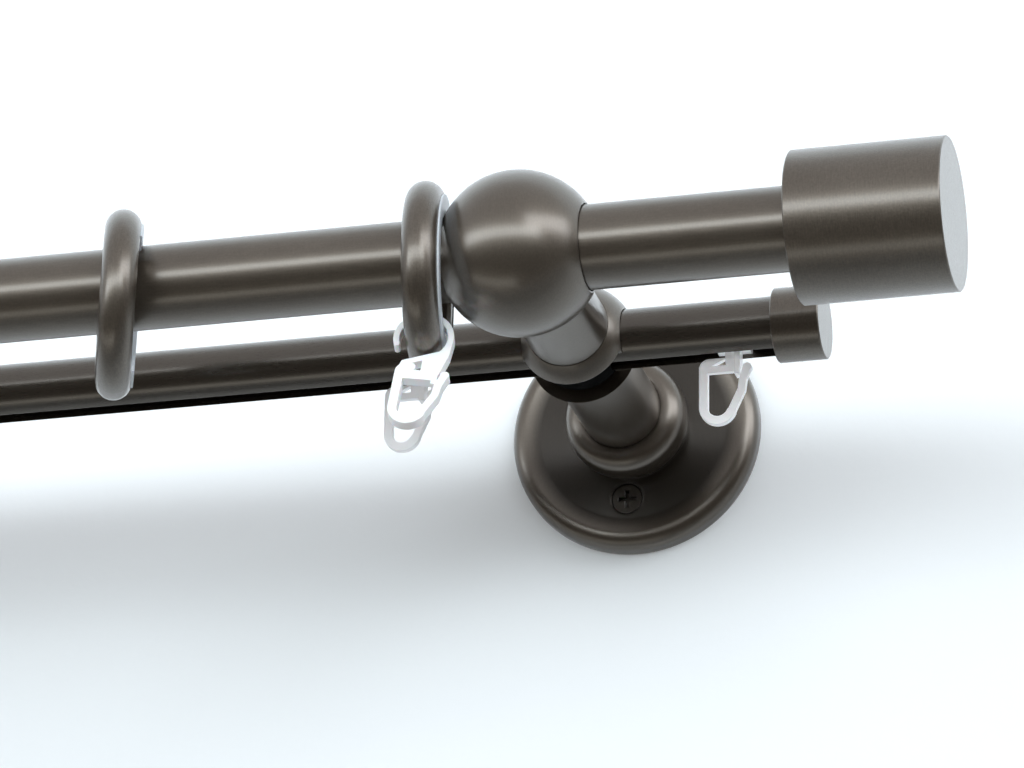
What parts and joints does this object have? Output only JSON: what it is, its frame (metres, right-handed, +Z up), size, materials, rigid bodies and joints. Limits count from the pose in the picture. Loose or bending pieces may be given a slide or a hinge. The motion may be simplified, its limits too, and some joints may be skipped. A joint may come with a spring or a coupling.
{
  "type": "double curtain pole",
  "caption": "Double curtain pole: a round front pole with rings and a slotted rear rail with runners, held one behind the other on ball brackets.",
  "frame": {"origin": "centre of the right wall plate's back face, on the wall", "axes": "+X along the poles to the right, +Y into the wall, +Z up"},
  "size_m": [0.861, 0.2077, 0.0967],
  "materials": {
    "bronze_metal": "satin metallic dark bronze lacquer",
    "screw_steel": "dark lacquered steel",
    "black_plastic": "matt moulded",
    "white_plastic": "smooth moulded, slightly translucent"
  },
  "bodies": {
    "mounted_frame": {"front_pole": "bronze_metal", "rear_rail": "bronze_metal", "wall_plate_right": "bronze_metal", "wall_screws_right": "screw_steel", "stem_screw_right": "screw_steel", "stem_right": "bronze_metal", "rail_holder_right": "bronze_metal", "rail_saddle_right": "black_plastic", "rail_lock_screw_right": "screw_steel", "arm_right": "bronze_metal", "pole_holder_right": "bronze_metal", "pole_lock_screw_right": "screw_steel", "pole_cap_right": "bronze_metal", "pole_plug_right": "black_plastic", "rail_cap_right": "bronze_metal", "wall_plate_left": "bronze_metal", "wall_screws_left": "screw_steel", "stem_screw_left": "screw_steel", "stem_left": "bronze_metal", "rail_holder_left": "bronze_metal", "rail_saddle_left": "black_plastic", "rail_lock_screw_left": "screw_steel", "arm_left": "bronze_metal", "pole_holder_left": "bronze_metal", "pole_lock_screw_left": "screw_steel", "pole_cap_left": "bronze_metal", "pole_plug_left": "black_plastic", "rail_cap_left": "bronze_metal"},
    "ring_1": {"curtain_ring_1": "bronze_metal", "ring_liner_1": "white_plastic"},
    "hook_1": {"ring_hook_1": "white_plastic"},
    "ring_2": {"curtain_ring_2": "bronze_metal", "ring_liner_2": "white_plastic"},
    "ring_3": {"curtain_ring_3": "bronze_metal", "ring_liner_3": "white_plastic"},
    "hook_3": {"ring_hook_3": "white_plastic"},
    "ring_4": {"curtain_ring_4": "bronze_metal", "ring_liner_4": "white_plastic"},
    "hook_4": {"ring_hook_4": "white_plastic"},
    "ring_5": {"curtain_ring_5": "bronze_metal", "ring_liner_5": "white_plastic"},
    "hook_5": {"ring_hook_5": "white_plastic"},
    "ring_6": {"curtain_ring_6": "bronze_metal", "ring_liner_6": "white_plastic"},
    "hook_6": {"ring_hook_6": "white_plastic"},
    "runner_1": {"rail_runner_1": "white_plastic"},
    "runner_2": {"rail_runner_2": "white_plastic"},
    "runner_3": {"rail_runner_3": "white_plastic"},
    "runner_4": {"rail_runner_4": "white_plastic"},
    "runner_5": {"rail_runner_5": "white_plastic"}
  },
  "joints": [
    {"name": "ring_1_slide", "type": "slide", "parent": "mounted_frame", "child": "ring_1", "axis": [1, 0, 0], "range_m": [-0.028, 0]},
    {"name": "hook_1_swing", "type": "hinge", "parent": "ring_1", "child": "hook_1", "pos_m": [-0.02669, -0.15296, -0.02728], "axis": [-0.1601, 0.957, -0.2419], "range_deg": [-20, 20]},
    {"name": "ring_2_slide", "type": "slide", "parent": "mounted_frame", "child": "ring_2", "axis": [1, 0, 0], "range_m": [-0.038, 0.028]},
    {"name": "ring_3_slide", "type": "slide", "parent": "mounted_frame", "child": "ring_3", "axis": [1, 0, 0], "range_m": [-0.038, 0.038]},
    {"name": "hook_3_swing", "type": "hinge", "parent": "ring_3", "child": "hook_3", "pos_m": [-0.23673, -0.15301, -0.02734], "axis": [0.1014, 0.965, -0.2419], "range_deg": [-20, 20]},
    {"name": "ring_4_slide", "type": "slide", "parent": "mounted_frame", "child": "ring_4", "axis": [1, 0, 0], "range_m": [-0.038, 0.038]},
    {"name": "hook_4_swing", "type": "hinge", "parent": "ring_4", "child": "hook_4", "pos_m": [-0.34913, -0.15299, -0.02731], "axis": [-0.135, 0.9609, -0.2419], "range_deg": [-20, 20]},
    {"name": "ring_5_slide", "type": "slide", "parent": "mounted_frame", "child": "ring_5", "axis": [1, 0, 0], "range_m": [-0.038, 0.038]},
    {"name": "hook_5_swing", "type": "hinge", "parent": "ring_5", "child": "hook_5", "pos_m": [-0.46471, -0.15294, -0.02725], "axis": [0.1851, 0.9525, -0.2419], "range_deg": [-20, 20]},
    {"name": "ring_6_slide", "type": "slide", "parent": "mounted_frame", "child": "ring_6", "axis": [1, 0, 0], "range_m": [-0.0005, 0.038]},
    {"name": "hook_6_swing", "type": "hinge", "parent": "ring_6", "child": "hook_6", "pos_m": [-0.57827, -0.15297, -0.02729], "axis": [0.1518, 0.9583, -0.2419], "range_deg": [-20, 20]},
    {"name": "runner_1_slide", "type": "slide", "parent": "mounted_frame", "child": "runner_1", "axis": [1, 0, 0], "range_m": [-0.016, 0.005]},
    {"name": "runner_2_slide", "type": "slide", "parent": "mounted_frame", "child": "runner_2", "axis": [1, 0, 0], "range_m": [-0.06, 0.02]},
    {"name": "runner_3_slide", "type": "slide", "parent": "mounted_frame", "child": "runner_3", "axis": [1, 0, 0], "range_m": [-0.06, 0.06]},
    {"name": "runner_4_slide", "type": "slide", "parent": "mounted_frame", "child": "runner_4", "axis": [1, 0, 0], "range_m": [-0.02, 0.06]},
    {"name": "runner_5_slide", "type": "slide", "parent": "mounted_frame", "child": "runner_5", "axis": [1, 0, 0], "range_m": [-0.005, 0.016]}
  ]
}
